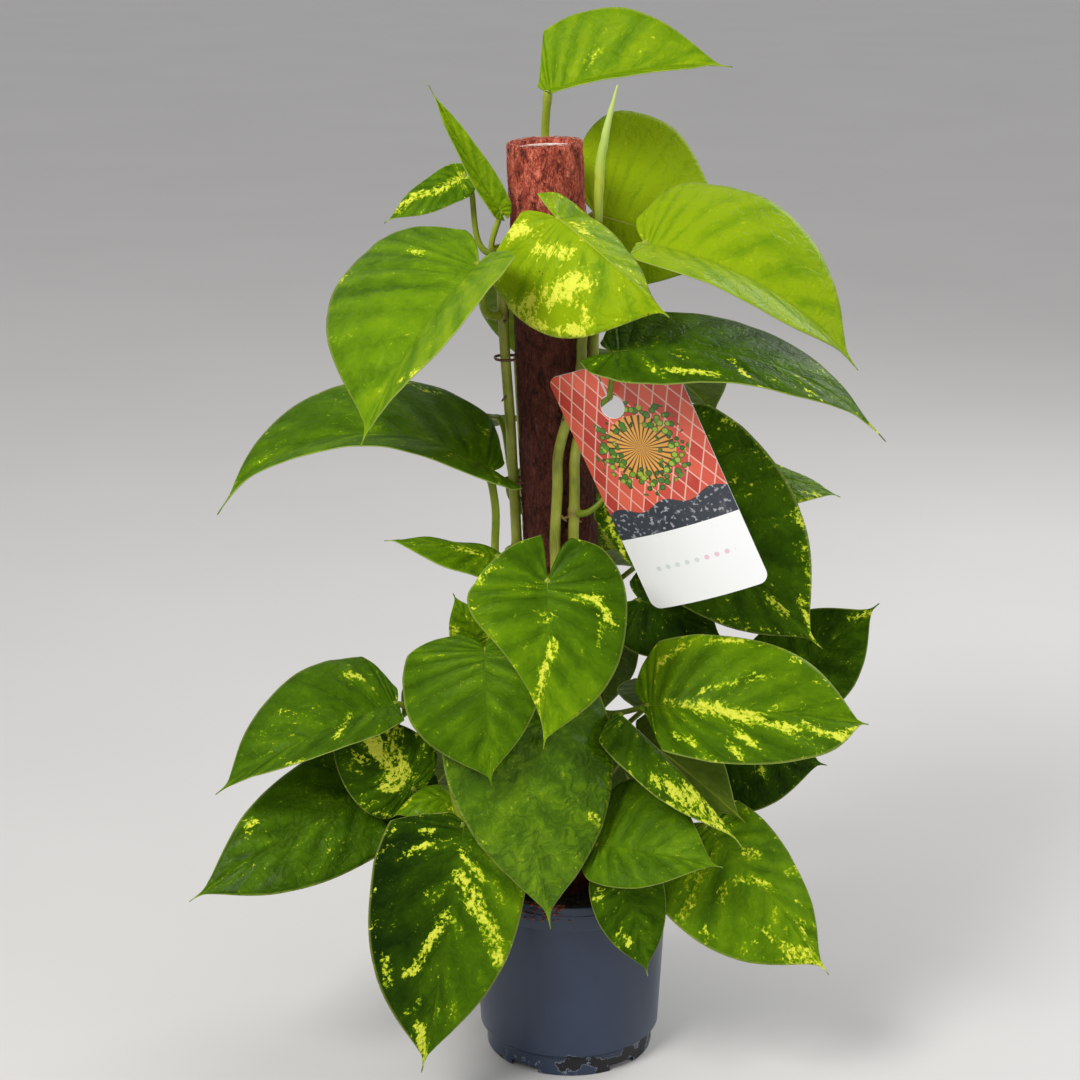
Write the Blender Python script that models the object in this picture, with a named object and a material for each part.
"""Potted golden pothos: vines on a coir pole in a nursery pot, with a hanging plant tag.

Heart-shaped leaves stand on long petioles all round a hollow coir pole. Every leaf is one
solid, blade and petiole together, and meets its vine with a small gap. Metres, +Z up.
"""

import math
import random

import bmesh
import bpy
from mathutils import Matrix, Vector

MM = 0.001
GAP = 0.0003

POT_RIM_RADIUS = 0.0600
POT_HEIGHT = 0.1150
POT_WALL = 0.0012
POT_LIP_ROUND = 0.0006
POT_LEDGE_DROP = 0.0032
POT_LEDGE_INNER_DROP = 0.0022
POT_BAND = 0.0155
POT_LEDGE_RADIUS = 0.0545
POT_LEDGE_Z = 0.0150
POT_FOOT_RADIUS = 0.0505
POT_FLOOR_Z = 0.0060
POT_STEPS = 32
POT_PAD_RADIUS = 0.0100
FOOT_NOTCHES = 5
FOOT_NOTCH_WIDTH = 0.0190
FOOT_NOTCH_HEIGHT = 0.0035
FOOT_NOTCH_DEPTH = 0.0120
FOOT_NOTCH_START = -51.0
DRAIN_HOLE_RADIUS = 0.0040
DRAIN_RING_RADIUS = 0.0360

SOIL_TOP = 0.1060
SOIL_EDGE_DROP = 0.0060
SOIL_LEDGE_DROP = 0.0019
SOIL_CRUMB_SINK = 0.0016
SOIL_CRUMBS = 12
SOIL_CRUMB_SIZE = (0.0018, 0.0036)
SOIL_CRUMB_RING = (0.033, 0.051)

POLE_RADIUS = 0.0210
POLE_WALL = 0.0040
POLE_TUBE_WALL = 0.0018
POLE_FOOT = 0.0350
POLE_TOP = 0.5516
POLE_FOOT_X = 0.0050
POLE_TOP_X = -0.0153
POLE_SIDES = 28
POLE_TUBE_DROP = 0.0030

VINE_RADIUS = 0.0035
VINE_ROOT_Z = 0.0800
VINE_NODE_SWELL = 1.18
VINE_TAPER = 0.15

BLADE_THICKNESS = 0.0008
BLADE_COLUMNS = 4
# A petiole sets out partly away from the pole and partly towards its leaf.
PETIOLE_AWAY = 0.55
PETIOLE_GOAL = 0.45

STAPLE_WIRE = 0.0008
STAPLE_DEPTH = 0.0030
STAPLE_SHOULDER = 0.0030

TAG_WIDTH = 0.0750
TAG_LENGTH = 0.1490
TAG_THICKNESS = 0.0008
TAG_CORNER = 0.0060
TAG_HOLE_RADIUS = 0.0072
TAG_HOLE_DROP = 0.0250
TAG_HOLE_ACROSS = 0.0320
TAG_SLIT = 0.0012
TAG_BOW = 0.0040
TAG_CORNER_PLACE = (-0.0140, -0.0385, 0.4262)
TAG_DOWN = (0.410, 0.026, -0.911)
TAG_ACROSS = (0.840, -0.405, 0.350)

# Half of a leaf's outline: places along the midrib and out from it, as shares of the blade's
# length and of its half width, from the back of a lobe to the tip.
OUTLINE = (
    (-0.170, 0.38),
    (-0.140, 0.70),
    (-0.030, 0.93),
    (0.130, 1.00),
    (0.330, 0.93),
    (0.550, 0.70),
    (0.750, 0.40),
    (0.890, 0.15),
    (1.000, 0.00),
)
# Where the side vein that ends at each of those points leaves the midrib.
VEIN_ROOTS = (0.000, 0.012, 0.030, 0.070, 0.160, 0.340, 0.560, 0.780, 1.000)
LOBE_BULGE = 0.90
VEIN_SWEEP = 0.38
# How a leaf's back corners are rounded: where along the outline that ends, how much narrower the
# back is where the lobe is short, how far the shoulder moves towards the tip, and over which
# stretch. Then how hollow the outline runs out to the tip, where 1 is the table's own outline.
ROUND_END = 0.375
BACK_SQUEEZE = 0.45
SHOULDER_SHIFT = 0.06
SHOULDER_STRETCH = 0.60
TIP_KEEN = 1.35

# The vines: (height, angle round the pole, distance from the pole's axis) in mm and degrees,
# with -90 facing the front.
VINES = {
    "vine_left": (
        (80, 196, 27), (115, 196, 27), (180, 192, 26), (250, 190, 26), (325, 189, 25.5),
        (380, 188, 26), (447, 187, 27.5), (495, 190, 28),
    ),
    "vine_front": (
        (80, -112, 27), (115, -112, 27), (180, -108, 26), (250, -102, 25.5), (322, -97, 25.5),
        (370, -90, 25.5), (438, -52, 26), (480, -32, 28), (500, -26, 30),
    ),
    "vine_right": (
        (80, -40, 27), (115, -40, 27), (180, -48, 26), (250, -60, 25.5), (322, -73, 25.5),
        (370, -68, 25.5), (438, -28, 26), (470, -15, 27),
    ),
    "vine_back": (
        (80, 84, 27), (115, 84, 27), (200, 80, 26), (300, 88, 25.5), (400, 92, 25.5),
        (480, 96, 25.5), (512, 98, 26),
    ),
    "vine_back_left": (
        (80, 140, 27), (115, 140, 27), (180, 136, 26), (260, 134, 25.5), (340, 138, 25.5),
        (430, 142, 25.5),
    ),
}
AERIAL_ROOTS = (
    ("vine_front", 300, -150, 9), ("vine_front", 345, -10, 8), ("vine_left", 300, 230, 10),
    ("vine_left", 410, 250, 7), ("vine_right", 290, 20, 9), ("vine_right", 400, 40, 8),
    ("vine_back", 250, 130, 10), ("vine_back", 420, 60, 9), ("vine_back_left", 300, 190, 9),
)
AERIAL_ROOT_RADII = (0.0013, 0.0011, 0.0005)


def leaf(base, tip, face, half, fold, curl, bow, vine, height, **more):
    """One leaf in mm and degrees: where the blade starts and ends, which way it faces, its two
    half widths, how far each half is raised and curls, and where the petiole leaves its vine.
    The rest has defaults: how far the lobes reach back, stand up and gather at the petiole, how
    round their corners are, how full and how low the belly of each half is, twist and waves, and
    the petiole's course."""
    row = dict(base=base, tip=tip, face=face, half=half, fold=fold, curl=curl, bow=bow)
    row.update(vine=vine, height=height, lobe=(1.0, 1.0), full=(0.8, 0.8), belly=(0.04, 0.04))
    row.update(twist=0.0, wave=1.2, via=(), reach=0.35, drop=0.30, stalk=1.6, rows=8)
    row.update(lift=0.0, gather=1.0, round=(0.5, 0.5))
    row.update(more)
    return row


LEAVES = {
    "leaf_crown": leaf(
        (-15, 24, 576), (88, 10, 591), (0, -0.1, 1.0), (41, 22), (54, 6), (6, -6), 22,
        "vine_back", 495, lobe=(0.2, 0.0), belly=(0.06, 0.1), full=(0.85, 0.8),
        via=((-15, 33, 525), (-15, 30, 555)), stalk=2.3, round=(1.0, 1.0),
    ),
    "leaf_rear_upper_right": leaf(
        (13, 27, 507), (96, 55, 472), (0, -0.85, 0.5), (68, 46), (4, -50), (-12, -10), 30,
        "vine_back", 472, lobe=(1.1, 0.6), full=(0.7, 0.8),
    ),
    "leaf_upper_right_glossy": leaf(
        (39, -28, 500), (155, -55, 435), (0.2, -0.6, 0.78), (60, 32), (14, 30), (-24, -16), 60,
        "vine_front", 470, lobe=(0.45, 0.1), full=(0.62, 0.7), belly=(0.02, 0.12), stalk=2.2,
    ),
    "leaf_upper_left_large": leaf(
        (-51, -55, 494), (-112, -110, 407), (-0.3, -0.6, 0.74), (42, 80), (36, 2), (-14, -22), 38,
        "vine_left", 455, lobe=(0.35, 0.9), full=(0.8, 0.66), belly=(0.06, 0.03), stalk=2.0,
    ),
    "leaf_front_streaked": leaf(
        (-9, -46, 517), (50, -88, 471), (-0.5, -0.6, 0.7), (26, 56), (-48, 0), (-10, -34), 34,
        "vine_front", 492, lobe=(1.2, 1.1), full=(0.8, 0.62), belly=(0.0, 0.1), drop=0.2,
        lift=24.0, gather=0.6,
    ),
    "leaf_rear_left_small": leaf(
        (-60, -4, 533), (-104, -12, 508), (-0.3, -0.75, 0.6), (14, 9), (2, 24), (-12, -8), 24,
        "vine_left", 490, lobe=(0.6, 0.6), rows=6,
    ),
    "leaf_young_left": leaf(
        (-39, -15, 514), (-78, -25, 585), (0.3, -0.9, 0.1), (8, 9), (30, 30), (10, 10), -14,
        "vine_left", 493, wave=0.3, lobe=(0.3, 0.3), rows=6,
    ),
    "leaf_left_middle": leaf(
        (-44, -40, 374), (-196, -62, 355), (-0.05, -0.06, 1.0), (26, 56), (8, 26), (-24, -16), 92,
        "vine_left", 290, lobe=(0.6, 0.2), full=(0.75, 0.75), stalk=2.2,
        via=((-43, -30, 318), (-43, -36, 350)),
    ),
    "leaf_right_middle_dark": leaf(
        (20, -72, 449), (169, -75, 400), (0, -0.08, 1.0), (46, 30), (18, -14), (-18, -10), 58,
        "vine_front", 402, lobe=(0.2, 0.6), full=(0.7, 0.75), belly=(0.0, 0.04),
        via=((19.7, -54.5, 419), (20, -63, 424)),
    ),
    "leaf_right_large": leaf(
        (36, -27, 372), (144, -33, 266), (0.0, -0.99, 0.05), (59, 44), (0, -6), (-16, -8), 8,
        "vine_right", 345, lobe=(0.6, 0.3), full=(0.62, 0.65), belly=(0.06, 0.1),
    ),
    "leaf_right_rear_small": leaf(
        (98, 12, 359), (158, 20, 341), (0, -0.4, 0.9), (12, 24), (4, 4), (-14, -14), 24,
        "vine_back", 335, rows=6,
    ),
    "leaf_left_small_pointed": leaf(
        (-42, -46, 325), (-105, -50, 336), (0, -0.35, 0.93), (24, 9), (8, -6), (-14, -14), 24,
        "vine_left", 318, lobe=(0.5, 0.5), rows=6, via=((-34, -30, 321),),
    ),
    "leaf_centre_heart": leaf(
        (-14, -88, 325), (-16, -112, 236), (0.05, -0.93, 0.35), (44, 44), (14, 14), (-26, -30), 26,
        "vine_front", 290, lobe=(1.5, 1.6), full=(0.72, 2.0), belly=(0.08, -0.10), stalk=2.0,
    ),
    "leaf_left_centre_heart": leaf(
        (-49, -70, 280), (-45, -96, 208), (-0.15, -0.93, 0.33), (32, 49), (10, 6), (-22, -24), 26,
        "vine_left", 255, lobe=(0.7, 0.6), full=(0.8, 0.56), belly=(0.04, 0.09),
        via=((-38, -40, 263),),
    ),
    "leaf_small_behind": leaf(
        (-51, -45, 271), (-67, -47, 304), (-0.2, -0.9, 0.3), (14, 14), (10, 10), (-10, -10), 30,
        "vine_left", 240, rows=6,
    ),
    "leaf_left_upper": leaf(
        (-100, -44, 237), (-202, -72, 192), (-0.15, -0.65, 0.75), (22, 48), (28, 2), (-14, -22), 40,
        "vine_left", 205, lobe=(0.0, 0.2), full=(0.7, 0.7), belly=(0.06, 0.06),
    ),
    "leaf_left_dark_streaked": leaf(
        (-91, -54, 188), (-143, -46, 229), (0.1, -0.9, 0.3), (27, 27), (6, 6), (-16, -16), 30,
        "vine_left", 160, lobe=(0.5, 0.5),
    ),
    "leaf_left_lower": leaf(
        (-104, -30, 184), (-218, -84, 131), (-0.2, -0.85, 0.48), (36, 36), (6, 6), (-18, -16), 26,
        "vine_left", 140, full=(0.68, 0.75), belly=(0.1, 0.06),
    ),
    "leaf_curled_glossy": leaf(
        (-60, -56, 180), (-103, -64, 174), (0, -0.5, 0.85), (18, 14), (-8, -8), (-16, -16), 90,
        "vine_left", 150, lobe=(0.3, 0.3), rows=6,
    ),
    "leaf_bottom_left": leaf(
        (-61, -78, 177), (-86, -104, 33), (0.12, -0.97, 0.15), (42, 48), (8, 8), (-24, -22), 22,
        "vine_left", 235, lobe=(0.15, 0.2), full=(0.75, 0.62), belly=(0.06, 0.08),
        via=((-70, -42, 212), (-68, -60, 188)), stalk=2.0,
    ),
    "leaf_bottom_left_sliver": leaf(
        (-92, -52, 148), (-117, -62, 116), (-0.1, -0.9, 0.4), (14, 14), (6, 6), (-10, -10), 20,
        "vine_left", 118, rows=6,
    ),
    "leaf_centre_bottom_dark": leaf(
        (-32, -62, 252), (-12, -92, 118), (-0.05, -0.95, 0.25), (52, 47), (-4, 8), (-22, -24), 26,
        "vine_front", 215, lobe=(0.4, 0.3), full=(0.66, 0.8), belly=(0.06, 0.04),
    ),
    "leaf_lower_right_flat": leaf(
        (14, -74, 162), (84, -105, 162), (0, -0.75, 0.66), (44, 24), (4, 6), (-14, -14), 24,
        "vine_right", 150, lobe=(0.6, 0.6),
    ),
    "leaf_folded_streaked": leaf(
        (27, -61, 237), (96, -90, 167), (0.25, -0.55, 0.8), (22, 26), (-60, 4), (-8, -14), 22,
        "vine_right", 215, lobe=(0.15, 0.15), full=(0.8, 0.7), rows=6,
    ),
    "leaf_olive_underside": leaf(
        (38, -40, 218), (100, -62, 170), (0.25, 0.92, 0.1), (28, 28), (4, 4), (-10, -10), 14,
        "vine_right", 195, lobe=(0.3, 0.3),
    ),
    "leaf_right_streaked": leaf(
        (42, -56, 240), (167, -70, 234), (0.05, -0.8, 0.6), (45, 37), (4, 26), (-20, -14), 30,
        "vine_right", 225, lobe=(0.35, 0.2), full=(0.6, 0.5), belly=(0.14, 0.2), round=(0.5, 2.0),
    ),
    "leaf_right_rear_dark": leaf(
        (124, 9, 226), (181, 3, 281), (0.1, -0.9, 0.3), (32, 32), (4, 4), (-12, -12), -18,
        "vine_right", 200, via=((68, 10, 218), (100, 14, 222)),
    ),
    "leaf_right_rear_low": leaf(
        (85, -14, 200), (152, -12, 185), (0.1, -0.85, 0.5), (35, 39), (4, 4), (-14, -14), 20,
        "vine_right", 165, full=(0.8, 0.7),
    ),
    "leaf_lower_right_large": leaf(
        (77, -54, 165), (148, -86, 86), (0.25, -0.8, 0.55), (30, 51), (6, -8), (-20, -14), 26,
        "vine_right", 130, lobe=(0.4, 0.2), full=(0.75, 0.66), belly=(0.04, 0.08),
    ),
    "leaf_front_pot_small": leaf(
        (31, -75, 144), (44, -86, 85), (0.1, -0.97, 0.2), (20, 23), (6, 6), (-14, -14), 20,
        "vine_right", 118, rows=6,
    ),
    "leaf_dark_behind": leaf(
        (40, -8, 287), (90, -10, 263), (0, -0.8, 0.6), (28, 30), (4, 4), (-14, -14), 20,
        "vine_right", 270, rows=6,
    ),
    "leaf_back_top": leaf(
        (-8, 56, 462), (-26, 112, 392), (-0.1, 0.75, 0.6), (42, 42), (8, 8), (-20, -20), 34,
        "vine_back", 432, rows=6,
    ),
    "leaf_back_upper_right": leaf(
        (34, 50, 420), (92, 100, 366), (0.35, 0.65, 0.65), (44, 44), (8, 8), (-20, -20), 36,
        "vine_back", 390, rows=6,
    ),
    "leaf_back_middle_left": leaf(
        (-42, 50, 382), (-88, 98, 350), (-0.3, 0.6, 0.7), (42, 42), (8, 8), (-20, -20), 40,
        "vine_back_left", 345, rows=6,
    ),
    "leaf_back_middle": leaf(
        (4, 62, 342), (20, 116, 260), (0.1, 0.85, 0.5), (46, 46), (8, 8), (-20, -20), 34,
        "vine_back", 310, rows=6,
    ),
    "leaf_back_right": leaf(
        (50, 44, 300), (120, 84, 246), (0.3, 0.6, 0.7), (44, 44), (8, 8), (-20, -20), 36,
        "vine_back", 265, rows=6,
    ),
    "leaf_back_left_low": leaf(
        (-48, 44, 240), (-108, 80, 172), (-0.4, 0.6, 0.7), (31, 32), (8, 8), (-20, -20), 36,
        "vine_back_left", 210, rows=6,
    ),
    "leaf_back_low": leaf(
        (8, 66, 240), (8, 118, 146), (0, 0.85, 0.45), (38, 36), (8, 8), (-22, -22), 30,
        "vine_back", 215, rows=6,
    ),
    "leaf_back_right_low": leaf(
        (62, 48, 212), (130, 88, 140), (0.3, 0.7, 0.6), (46, 46), (8, 8), (-20, -20), 34,
        "vine_back", 170, rows=6,
    ),
    "leaf_back_left_bottom": leaf(
        (-58, 56, 172), (-104, 96, 92), (-0.3, 0.75, 0.5), (42, 42), (8, 8), (-20, -20), 28,
        "vine_back_left", 150, rows=6,
    ),
    "leaf_back_bottom": leaf(
        (34, 72, 156), (50, 108, 66), (0.1, 0.95, 0.25), (38, 38), (8, 8), (-20, -20), 22,
        "vine_back", 132, rows=6,
    ),
}

# Staples round a vine: (vine, height in mm)
STAPLES = {
    "staple_left_upper": ("vine_left", 430),
    "staple_left_lower": ("vine_left", 358),
    "staple_front": ("vine_front", 300),
    "staple_back": ("vine_back", 360),
}
STAPLE_SPREAD = 15.0

SPEAR_ROUTE = ((13.8, -13.2, 500.5), (14.3, -14, 512), (15, -15, 541), (20, -16, 568), (24, -16, 584))
SPEAR_RADII = (1.3, 2.6, 3.0, 1.8, 0.5)


def clear_scene():
    for obj in list(bpy.data.objects):
        bpy.data.objects.remove(obj)


def material(name, colour, roughness):
    made = bpy.data.materials.new(name)
    made.use_nodes = True
    shader = made.node_tree.nodes["Principled BSDF"]
    shader.inputs["Base Color"].default_value = (*colour, 1.0)
    shader.inputs["Roughness"].default_value = roughness
    shader.inputs["Metallic"].default_value = 0.0
    return made


def make_object(name, mesh, finish=None):
    obj = bpy.data.objects.new(name, mesh)
    bpy.context.scene.collection.objects.link(obj)
    if finish:
        mesh.materials.clear()
        mesh.materials.append(finish)
    return obj


def settle(obj):
    """Applies the object's modifiers."""
    bpy.context.view_layer.update()
    graph = bpy.context.evaluated_depsgraph_get()
    mesh = bpy.data.meshes.new_from_object(obj.evaluated_get(graph))
    obj.modifiers.clear()
    obj.data = mesh
    return obj


def smooth(obj, degrees=50.0):
    obj.data.shade_smooth()
    obj.data.set_sharp_from_angle(angle=math.radians(degrees))


def combine(obj, others, operation):
    """Joins the others to the object, or cuts them from it, and removes them."""
    helpers = bpy.data.collections.new("helpers")
    bpy.context.scene.collection.children.link(helpers)
    for other in others:
        bpy.context.scene.collection.objects.unlink(other)
        helpers.objects.link(other)
        other.hide_render = True
        other.display_type = "WIRE"
    boolean = obj.modifiers.new("Boolean", "BOOLEAN")
    boolean.operation = operation
    boolean.operand_type = "COLLECTION"
    boolean.collection = helpers
    settle(obj)
    for other in list(helpers.objects):
        bpy.data.objects.remove(other)
    bpy.data.collections.remove(helpers)


def mesh_from(name, points, faces):
    mesh = bpy.data.meshes.new(name)
    mesh.from_pydata([tuple(p) for p in points], [], faces)
    mesh.update()
    return mesh


def turned(name, profile, steps, finish):
    """A turned solid from a profile that starts and ends on the axis, or closes on itself."""
    mesh = bpy.data.meshes.new(name)
    closed = profile[0][0] > 0.0
    edges = [(i, i + 1) for i in range(len(profile) - 1)]
    if closed:
        edges.append((len(profile) - 1, 0))
    mesh.from_pydata([(r, 0.0, z) for r, z in profile], edges, [])
    obj = make_object(name, mesh, finish)
    screw = obj.modifiers.new("Screw", "SCREW")
    screw.axis = "Z"
    screw.angle = 2.0 * math.pi
    screw.steps = steps
    screw.render_steps = steps
    screw.use_merge_vertices = True
    screw.merge_threshold = 0.00001
    settle(obj)
    return obj


def cylinder(name, radius, low, high, place=(0.0, 0.0), sides=16):
    form = bmesh.new()
    where = Matrix.Translation((place[0], place[1], (low + high) / 2.0))
    bmesh.ops.create_cone(
        form, cap_ends=True, segments=sides, radius1=radius, radius2=radius,
        depth=high - low, matrix=where,
    )
    mesh = bpy.data.meshes.new(name)
    form.to_mesh(mesh)
    form.free()
    return make_object(name, mesh)


def rod(name, points, radii, finish=None, sides=1):
    """A round rod along the points, as a curve with a bevel and filled caps made into a mesh."""
    curve = bpy.data.curves.new(name, "CURVE")
    curve.dimensions = "3D"
    curve.bevel_depth = 1.0
    curve.bevel_resolution = sides
    curve.use_fill_caps = True
    curve.twist_mode = "MINIMUM"
    line = curve.splines.new("POLY")
    line.points.add(len(points) - 1)
    for spot, point, radius in zip(line.points, points, radii):
        spot.co = (*point, 1.0)
        spot.radius = radius
    obj = bpy.data.objects.new(name, curve)
    bpy.context.scene.collection.objects.link(obj)
    bpy.context.view_layer.update()
    graph = bpy.context.evaluated_depsgraph_get()
    mesh = bpy.data.meshes.new_from_object(obj.evaluated_get(graph))
    bpy.data.objects.remove(obj)
    form = bmesh.new()
    form.from_mesh(mesh)
    bmesh.ops.remove_doubles(form, verts=form.verts, dist=0.000005)
    bmesh.ops.recalc_face_normals(form, faces=form.faces)
    form.to_mesh(mesh)
    form.free()
    return make_object(name, mesh, finish)


def through(values, share):
    """A smooth curve through evenly spaced values, read at a share of its length."""
    last = len(values) - 1
    spot = min(max(share, 0.0), 1.0) * last
    i = min(int(spot), last - 1)
    t = spot - i
    a = values[max(i - 1, 0)]
    b = values[i]
    c = values[i + 1]
    d = values[min(i + 2, last)]
    return 0.5 * (
        2.0 * b + (c - a) * t + (2.0 * a - 5.0 * b + 4.0 * c - d) * t * t
        + (3.0 * b - a - 3.0 * c + d) * t * t * t
    )


def bezier(a, b, c, d, t):
    u = 1.0 - t
    return a * u ** 3 + b * 3.0 * u * u * t + c * 3.0 * u * t * t + d * t ** 3


def course(knots, first_way):
    """A smooth line through unevenly spaced knots that sets out in the given direction."""
    ways = [first_way]
    for i in range(1, len(knots)):
        ahead = knots[min(i + 1, len(knots) - 1)]
        ways.append((ahead - knots[i - 1]).normalized())
    points = [knots[0]]
    for i in range(len(knots) - 1):
        third = (knots[i + 1] - knots[i]).length / 3.0
        near, far = knots[i] + ways[i] * third, knots[i + 1] - ways[i + 1] * third
        for t in (0.07, 0.5, 1.0) if i == 0 else (0.5, 1.0):
            points.append(bezier(knots[i], near, far, knots[i + 1], t))
    return points


def pole_axis_x(z):
    share = (z - POLE_FOOT) / (POLE_TOP - POLE_FOOT)
    return POLE_FOOT_X + (POLE_TOP_X - POLE_FOOT_X) * share


def vine_point(name, z):
    """The vine's centre at a height in metres."""
    route = VINES[name]
    heights = [row[0] * MM for row in route]
    i = 0
    while i < len(route) - 2 and z > heights[i + 1]:
        i += 1
    t = (z - heights[i]) / (heights[i + 1] - heights[i])
    eased = t * t * (3.0 - 2.0 * t)
    angle = math.radians(route[i][1] + (route[i + 1][1] - route[i][1]) * eased)
    reach = (route[i][2] + (route[i + 1][2] - route[i][2]) * eased) * MM
    straight_below = route[1][0] * MM
    axis = pole_axis_x(max(z, straight_below))
    return Vector((axis + reach * math.cos(angle), reach * math.sin(angle), z))


def vine_radius(name, z):
    """The stem between its nodes: it thins out towards the top."""
    low, high = VINES[name][0][0] * MM, VINES[name][-1][0] * MM
    return VINE_RADIUS * (1.0 - VINE_TAPER * (z - low) / (high - low))


class Blade:
    """The middle surface of one leaf's blade, read by the share along it and across it."""

    STEPS = 40

    def __init__(self, row):
        self.row = row
        self.base = Vector(row["base"]) * MM
        tip = Vector(row["tip"]) * MM
        chord = tip - self.base
        self.along = chord.normalized()
        face = Vector(row["face"])
        self.normal = (face - self.along * face.dot(self.along)).normalized()
        self.across = self.normal.cross(self.along)
        bend = math.radians(row["bow"])
        places = [(0.0, 0.0)]
        for i in range(self.STEPS):
            turn = -bend * ((i + 0.5) / self.STEPS) ** 1.25
            x, z = places[-1]
            places.append((x + math.cos(turn) / self.STEPS, z + math.sin(turn) / self.STEPS))
        end_x, end_z = places[-1]
        self.tilt = -math.atan2(end_z, end_x)
        self.length = chord.length / math.hypot(end_x, end_z)
        self.places = places
        self.bend = bend

    def rib(self, share):
        """A point of the midrib and the blade's up direction there, along and up from the base."""
        if share <= 0.0:
            turn = -math.radians(self.row["lift"])
            x, z = share * math.cos(turn), share * math.sin(turn)
        else:
            spot = min(share, 1.0) * self.STEPS
            i = min(int(spot), self.STEPS - 1)
            t = spot - i
            (x0, z0), (x1, z1) = self.places[i], self.places[i + 1]
            x, z = x0 + (x1 - x0) * t, z0 + (z1 - z0) * t
            turn = -self.bend * min(share, 1.0) ** 1.25
        angle = self.tilt
        x, z = x * math.cos(angle) - z * math.sin(angle), x * math.sin(angle) + z * math.cos(angle)
        return x * self.length, z * self.length, turn + angle

    def flat(self, s, v):
        """Where a point lies on the pressed leaf: share of the length, share of the half width."""
        side = 0 if v >= 0 else 1
        row_round = self.row["round"][side]
        out_x = through([p[0] for p in OUTLINE], s)
        keen = self.row["full"][side]
        keen += (TIP_KEEN - keen) * max(out_x, 0.0) ** 3
        keen += row_round * max(0.0, 1.0 - s / ROUND_END)
        out_y = max(through([p[1] for p in OUTLINE], s), 0.0) ** keen
        squeeze = BACK_SQUEEZE * max(0.0, 1.0 - self.row["lobe"][side])
        out_y *= 1.0 - squeeze * max(0.0, 1.0 - s / ROUND_END)
        if s < 0.125:
            out_y *= self.row["gather"] + (1.0 - self.row["gather"]) * s / 0.125
        if out_x < 0.0:
            out_x *= self.row["lobe"][side]
        else:
            out_x += self.row["belly"][side] * math.sin(math.pi * out_x)
        if s < SHOULDER_STRETCH:
            out_x += row_round * SHOULDER_SHIFT * math.sin(math.pi * s / SHOULDER_STRETCH)
        root = max(through(VEIN_ROOTS, s), 0.0)
        lobe_share = max(0.0, 1.0 - s * 5.0)
        sweep = VEIN_SWEEP + (LOBE_BULGE - VEIN_SWEEP) * lobe_share
        t = abs(v)
        mid_x = root + (out_x - root) * sweep
        x = root * (1 - t) ** 2 + 2 * mid_x * t * (1 - t) + out_x * t * t
        return x, out_y * t * math.copysign(1.0, v)

    def point(self, s, v):
        row = self.row
        x, y = self.flat(s, v)
        side = 0 if v >= 0 else 1
        half = row["half"][side] * MM
        t = abs(y)
        fold = math.radians(row["fold"][side])
        curl = math.radians(row["curl"][side]) or 0.0001
        reach = half / curl * (math.sin(fold + curl * t) - math.sin(fold))
        rise = half / curl * (math.cos(fold) - math.cos(fold + curl * t))
        rise += row["wave"] * MM * t * t * math.sin(9.0 * x + 2.1 * side + row["bow"])
        along, up, turn = self.rib(x)
        twist = math.radians(row["twist"]) * x
        reach *= math.copysign(1.0, v)
        reach, rise = (
            reach * math.cos(twist) - rise * math.sin(twist),
            reach * math.sin(twist) + rise * math.cos(twist),
        )
        return (
            self.base + self.along * (along - rise * math.sin(turn))
            + self.normal * (up + rise * math.cos(turn)) + self.across * reach
        )


def petiole_points(row, blade):
    """The petiole's course from just outside its vine to the start of the midrib."""
    z = row["height"] * MM
    centre = vine_point(row["vine"], z)
    pole = Vector((pole_axis_x(z), 0.0, z))
    away = (centre - pole)
    away.z = 0.0
    away.normalize()
    stops = [Vector(p) * MM for p in row["via"]]
    goal = (stops + [blade.base])[0] - centre
    goal.z = 0.0
    out = (away * PETIOLE_AWAY + goal.normalized() * PETIOLE_GOAL).normalized()
    start = centre + out * (vine_radius(row["vine"], z) * VINE_NODE_SWELL + 1.3 * GAP)
    end = blade.point(0.0, 0.0) * 0.9 + blade.point(0.5, 0.0) * 0.1
    if stops:
        return course([start] + stops + [end], out)
    span = (end - start).length
    lead = start + out * span * row["reach"]
    under = (blade.along * 0.6 + blade.normal * 0.7).normalized()
    approach = end - under * span * row["drop"]
    return [bezier(start, lead, approach, end, t) for t in (0.0, 0.07, 0.3, 0.53, 0.77, 1.0)]


def make_leaf(name, row, finish):
    """The blade as a triangulated sheet given its thickness, with the petiole joined on."""
    blade = Blade(row)
    points = []
    faces = []
    columns = [2.0 * c / BLADE_COLUMNS - 1.0 for c in range(BLADE_COLUMNS + 1)]
    rows = row["rows"]
    for r in range(rows):
        for v in columns:
            points.append(blade.point(r / rows, v))
    points.append(blade.point(1.0, 0.0))
    wide = BLADE_COLUMNS + 1
    for r in range(rows - 1):
        for c in range(BLADE_COLUMNS):
            a = r * wide + c
            b, d = a + 1, a + wide
            if c < BLADE_COLUMNS // 2:
                faces += [(a, b, d + 1), (a, d + 1, d)]
            else:
                faces += [(a, b, d), (b, d + 1, d)]
    last = (rows - 1) * wide
    for c in range(BLADE_COLUMNS):
        faces.append((last + c, last + c + 1, rows * wide))
    obj = make_object(name, mesh_from(name, points, faces), finish)
    solid = obj.modifiers.new("Solidify", "SOLIDIFY")
    solid.thickness = BLADE_THICKNESS
    solid.offset = 0.0
    settle(obj)
    form = bmesh.new()
    form.from_mesh(obj.data)
    bmesh.ops.triangulate(form, faces=form.faces)
    bmesh.ops.recalc_face_normals(form, faces=form.faces)
    form.to_mesh(obj.data)
    form.free()
    route = petiole_points(row, blade)
    thick = row["stalk"] * MM
    radii = [thick * 1.2] + [thick] * (len(route) - 2) + [thick * 0.85]
    combine(obj, [rod(name + "_petiole", route, radii)], "UNION")
    smooth(obj, 60.0)
    return obj


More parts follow.
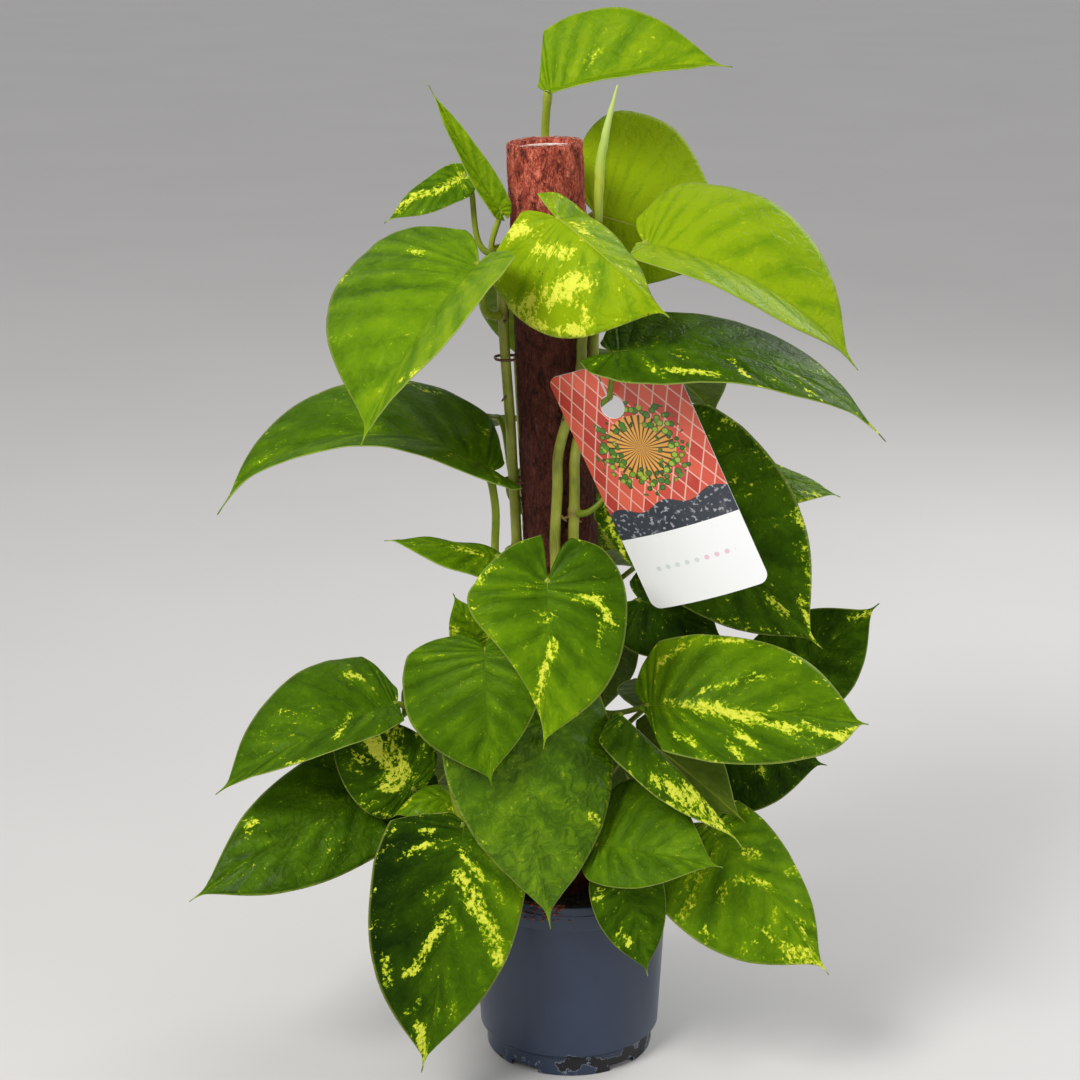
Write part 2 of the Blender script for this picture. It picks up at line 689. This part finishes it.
def make_pot(finish):
    wall = POT_WALL
    inner_floor = POT_FLOOR_Z + wall * 1.25
    band = POT_HEIGHT - POT_BAND
    profile = [
        (0.0, inner_floor),
        (POT_FOOT_RADIUS - wall * 1.2, inner_floor),
        (POT_FOOT_RADIUS - wall * 1.2, POT_LEDGE_Z - POT_LEDGE_INNER_DROP),
        (POT_LEDGE_RADIUS - wall, POT_LEDGE_Z + wall),
        (POT_RIM_RADIUS - 2.0 * wall, band),
        (POT_RIM_RADIUS - wall * 1.1, band + wall * 1.5),
        (POT_RIM_RADIUS - wall, POT_HEIGHT - POT_LIP_ROUND),
        (POT_RIM_RADIUS - wall * 0.7, POT_HEIGHT),
        (POT_RIM_RADIUS - wall * 0.3, POT_HEIGHT),
        (POT_RIM_RADIUS, POT_HEIGHT - POT_LIP_ROUND),
        (POT_RIM_RADIUS, band + wall),
        (POT_RIM_RADIUS - wall, band),
        (POT_LEDGE_RADIUS, POT_LEDGE_Z),
        (POT_FOOT_RADIUS, POT_LEDGE_Z - POT_LEDGE_DROP),
        (POT_FOOT_RADIUS, 0.0),
        (POT_FOOT_RADIUS - wall * 1.4, 0.0),
        (POT_FOOT_RADIUS - wall * 1.4, POT_FLOOR_Z),
        (POT_PAD_RADIUS, POT_FLOOR_Z),
        (POT_PAD_RADIUS, 0.0),
        (0.0, 0.0),
    ]
    pot = turned("pot", profile, POT_STEPS, finish)
    cutters = []
    for i in range(FOOT_NOTCHES):
        angle = math.radians(FOOT_NOTCH_START + 360.0 * i / FOOT_NOTCHES)
        form = bmesh.new()
        size = Matrix.Diagonal(
            (FOOT_NOTCH_DEPTH, FOOT_NOTCH_WIDTH, 2.0 * FOOT_NOTCH_HEIGHT, 1.0)
        )
        place = Matrix.Rotation(angle, 4, "Z") @ Matrix.Translation((POT_FOOT_RADIUS, 0, 0))
        bmesh.ops.create_cube(form, size=1.0, matrix=place @ size)
        mesh = bpy.data.meshes.new("notch")
        form.to_mesh(mesh)
        form.free()
        cutters.append(make_object("notch", mesh))
        hole = angle + math.pi / FOOT_NOTCHES
        spot = (DRAIN_RING_RADIUS * math.cos(hole), DRAIN_RING_RADIUS * math.sin(hole))
        cutters.append(
            cylinder("drain", DRAIN_HOLE_RADIUS, 0.001, inner_floor + 0.004, spot, sides=10)
        )
    combine(pot, cutters, "DIFFERENCE")
    smooth(pot, 30.0)
    return pot


def pot_inner_radius(z):
    low, high = POT_LEDGE_Z + POT_WALL, POT_HEIGHT - POT_BAND
    share = (z - low) / (high - low)
    small, large = POT_LEDGE_RADIUS - POT_WALL, POT_RIM_RADIUS - 2.0 * POT_WALL
    return small + (large - small) * share


def make_soil(finish):
    """Potting mix that fills the pot, with crumbs on top and plain holes for pole and vines."""
    draw = random.Random(4)
    bottom = POT_FLOOR_Z + POT_WALL * 1.25 + GAP
    ledge = POT_LEDGE_Z + POT_WALL
    edge = SOIL_TOP - SOIL_EDGE_DROP
    profile = [
        (0.0, SOIL_TOP),
        (0.020, SOIL_TOP),
        (0.038, SOIL_TOP - 0.001),
        (0.050, SOIL_TOP - 0.003),
        (pot_inner_radius(edge - POT_WALL) - 2 * GAP, edge),
        (POT_LEDGE_RADIUS - POT_WALL - 2 * GAP, ledge + GAP),
        (POT_FOOT_RADIUS - POT_WALL * 1.2 - 2 * GAP, POT_LEDGE_Z - SOIL_LEDGE_DROP),
        (POT_FOOT_RADIUS - POT_WALL * 1.2 - 2 * GAP, bottom),
        (0.0, bottom),
    ]
    soil = turned("soil", profile, POT_STEPS, finish)
    crumbs = []
    for i in range(SOIL_CRUMBS):
        angle = draw.uniform(0.0, 2.0 * math.pi)
        radius = draw.uniform(*SOIL_CRUMB_RING)
        form = bmesh.new()
        size = draw.uniform(*SOIL_CRUMB_SIZE)
        place = Matrix.Translation(
            (
                radius * math.cos(angle), radius * math.sin(angle),
                SOIL_TOP - SOIL_CRUMB_SINK - size * 0.2,
            )
        )
        turn = Matrix.Rotation(draw.uniform(0.0, 3.0), 4, "X")
        bmesh.ops.create_icosphere(form, subdivisions=1, radius=size, matrix=place @ turn)
        mesh = bpy.data.meshes.new("crumb")
        form.to_mesh(mesh)
        form.free()
        crumbs.append(make_object("crumb", mesh))
    combine(soil, crumbs, "UNION")
    seat = cylinder(
        "hole", POLE_RADIUS + 2 * GAP, POLE_FOOT - GAP, POT_HEIGHT + 0.02, sides=POLE_SIDES
    )
    seat.data.transform(pole_place())
    holes = [seat]
    for name in VINES:
        spot = vine_point(name, VINE_ROOT_Z)
        holes.append(
            cylinder(
                "hole", VINE_RADIUS + 2.2 * GAP, VINE_ROOT_Z - GAP, POT_HEIGHT + 0.02,
                (spot.x, spot.y), sides=8,
            )
        )
    combine(soil, holes, "DIFFERENCE")
    smooth(soil, 30.0)
    return soil


def pole_place():
    """Leans a thing that stands on the Z axis so that it follows the pole."""
    lean = math.atan2(POLE_TOP_X - POLE_FOOT_X, POLE_TOP - POLE_FOOT)
    foot = Vector((POLE_FOOT_X, 0.0, POLE_FOOT))
    down = Matrix.Translation((0.0, 0.0, -POLE_FOOT))
    return Matrix.Translation(foot) @ Matrix.Rotation(lean, 4, "Y") @ down


def pole_ring(name, outer, inner, low, high, finish, cutters=()):
    """A tube about the pole's leaning axis."""
    profile = [(outer, high), (outer, low), (inner, low), (inner, high)]
    obj = turned(name, profile, POLE_SIDES, finish)
    obj.data.transform(pole_place())
    if cutters:
        combine(obj, cutters, "DIFFERENCE")
    smooth(obj, 30.0)
    return obj


def staple_points(vine, height):
    """The route of a wire staple: into the coir, round the vine's outside and in again."""
    z = height * MM
    centre = vine_point(vine, z)
    axis = Vector((pole_axis_x(z), 0.0, z))
    out = (centre - axis)
    out.z = 0.0
    middle = math.atan2(out.y, out.x)
    far = out.length + VINE_RADIUS * VINE_NODE_SWELL + STAPLE_WIRE + 2 * GAP
    spread = math.radians(STAPLE_SPREAD)
    stations = (
        (-1.0, POLE_RADIUS - STAPLE_DEPTH), (-1.0, POLE_RADIUS + 0.0020),
        (-0.86, far - STAPLE_SHOULDER),
        (-0.45, far), (0.0, far + 0.0002), (0.45, far), (0.86, far - STAPLE_SHOULDER),
        (1.0, POLE_RADIUS + 0.0020), (1.0, POLE_RADIUS - STAPLE_DEPTH),
    )
    points = []
    for share, reach in stations:
        angle = middle + spread * share
        points.append(axis + Vector((math.cos(angle), math.sin(angle), 0.0)) * reach)
    return points


def make_pole(tube_finish, coir_finish):
    holes = []
    for vine, height in STAPLES.values():
        points = staple_points(vine, height)
        for inner, outer in ((0, 1), (-1, -2)):
            root, mouth = points[inner], points[outer]
            way = (mouth - root).normalized()
            route = [root - way * GAP, mouth + way * 0.004]
            holes.append(rod("staple_hole", route, [STAPLE_WIRE + 2 * GAP] * 2))
    inner = POLE_RADIUS - POLE_WALL
    pole_ring("coir_sleeve", POLE_RADIUS, inner, POLE_FOOT, POLE_TOP, coir_finish, holes)
    pole_ring(
        "pole_tube", inner - GAP, inner - GAP - POLE_TUBE_WALL, POLE_FOOT, POLE_TOP - POLE_TUBE_DROP,
        tube_finish,
    )


def make_vine(name, finish):
    draw = random.Random(name)
    route = VINES[name]
    low, high = route[0][0] * MM + GAP, route[-1][0] * MM
    nodes = sorted({row["height"] * MM for row in LEAVES.values() if row["vine"] == name})
    stops = [low, SOIL_TOP + 0.006] + [z for z in nodes if z > SOIL_TOP + 0.008] + [high]
    points = []
    radii = []
    for i, z in enumerate(stops):
        points.append(vine_point(name, z))
        swell = VINE_NODE_SWELL if z in nodes else 1.0
        radii.append(vine_radius(name, z) * swell)
        if i < len(stops) - 1 and stops[i + 1] - z > 0.012:
            between = (z + stops[i + 1]) / 2.0
            points.append(vine_point(name, between))
            radii.append(vine_radius(name, between))
    obj = rod(name, points, radii, finish)
    roots = []
    for vine, height, angle, length in AERIAL_ROOTS:
        if vine != name:
            continue
        start = vine_point(name, height * MM)
        way = Vector((math.cos(math.radians(angle)), math.sin(math.radians(angle)), -0.5))
        end = start + way.normalized() * length * MM
        middle = (start + end) / 2.0 + Vector((0.0, 0.0, draw.uniform(0.0003, 0.0010)))
        roots.append(rod(name + "_root", [start, middle, end], AERIAL_ROOT_RADII))
    combine(obj, roots, "UNION")
    smooth(obj, 60.0)
    return obj


def make_tag(finish):
    """A printed card with round corners, hung by its hole and slit, bowed about its length."""
    half = TAG_WIDTH / 2.0
    hole_x, hole_y = TAG_HOLE_ACROSS, TAG_HOLE_DROP
    outline = []
    corners = (
        (TAG_CORNER, TAG_CORNER, 270), (TAG_CORNER, TAG_LENGTH - TAG_CORNER, 180),
        (TAG_WIDTH - TAG_CORNER, TAG_LENGTH - TAG_CORNER, 90),
        (TAG_WIDTH - TAG_CORNER, TAG_CORNER, 0),
    )
    for x, y, start in corners:
        for step in range(4):
            angle = math.radians(start - 30.0 * step)
            outline.append((x + TAG_CORNER * math.cos(angle), y + TAG_CORNER * math.sin(angle)))
    slit = TAG_SLIT / 2.0
    outline.append((hole_x + slit, 0.0))
    opening = math.asin(slit / TAG_HOLE_RADIUS)
    sides = 14
    for step in range(sides + 1):
        angle = -math.pi / 2.0 + opening + (2.0 * math.pi - 2.0 * opening) * step / sides
        outline.append(
            (hole_x + TAG_HOLE_RADIUS * math.cos(angle), hole_y + TAG_HOLE_RADIUS * math.sin(angle))
        )
    outline.append((hole_x - slit, 0.0))
    form = bmesh.new()
    face = form.faces.new([form.verts.new((x, y, 0.0)) for x, y in outline])
    bmesh.ops.triangulate(form, faces=[face])
    for cut in range(1, 6):
        plane = TAG_WIDTH * cut / 6.0
        bmesh.ops.bisect_plane(
            form, geom=form.verts[:] + form.edges[:] + form.faces[:],
            plane_co=(plane + 0.00013, 0, 0), plane_no=(1, 0, 0),
        )
    down = Vector(TAG_DOWN).normalized()
    across = Vector(TAG_ACROSS)
    across = (across - down * across.dot(down)).normalized()
    facing = across.cross(down)
    if facing.y > 0.0:
        facing = -facing
    corner = Vector(TAG_CORNER_PLACE)
    for vert in form.verts:
        x, y = vert.co.x, vert.co.y
        bulge = TAG_BOW * (1.0 - ((x - half) / half) ** 2)
        vert.co = corner + across * x + down * y + facing * bulge
    bmesh.ops.triangulate(form, faces=form.faces)
    mesh = bpy.data.meshes.new("tag")
    form.to_mesh(mesh)
    form.free()
    obj = make_object("plant_tag", mesh, finish)
    solid = obj.modifiers.new("Solidify", "SOLIDIFY")
    solid.thickness = TAG_THICKNESS
    solid.offset = 0.0
    settle(obj)
    form = bmesh.new()
    form.from_mesh(obj.data)
    bmesh.ops.triangulate(form, faces=form.faces)
    bmesh.ops.recalc_face_normals(form, faces=form.faces)
    form.to_mesh(obj.data)
    form.free()
    smooth(obj, 30.0)
    return obj


def main():
    clear_scene()
    leaf_green = material("leaf", (0.10, 0.30, 0.02), 0.30)
    vine_green = material("vine", (0.25, 0.42, 0.07), 0.45)
    make_pot(material("pot_plastic", (0.035, 0.045, 0.06), 0.42))
    make_soil(material("soil", (0.05, 0.03, 0.02), 0.95))
    make_pole(
        material("tube_plastic", (0.06, 0.03, 0.025), 0.6),
        material("coir", (0.30, 0.08, 0.04), 0.95),
    )
    for name in VINES:
        make_vine(name, vine_green)
    wire = material("wire", (0.16, 0.07, 0.05), 0.5)
    for name, (vine, height) in STAPLES.items():
        route = staple_points(vine, height)
        staple = rod(name, route, [STAPLE_WIRE] * len(route), wire, sides=0)
        smooth(staple, 60.0)
    make_tag(material("tag_card", (0.85, 0.85, 0.86), 0.35))
    spear = rod(
        "leaf_spear", [Vector(p) * MM for p in SPEAR_ROUTE], [r * MM for r in SPEAR_RADII],
        material("spear", (0.45, 0.60, 0.12), 0.35),
    )
    smooth(spear, 60.0)
    for name, row in LEAVES.items():
        make_leaf(name, row, leaf_green)


main()
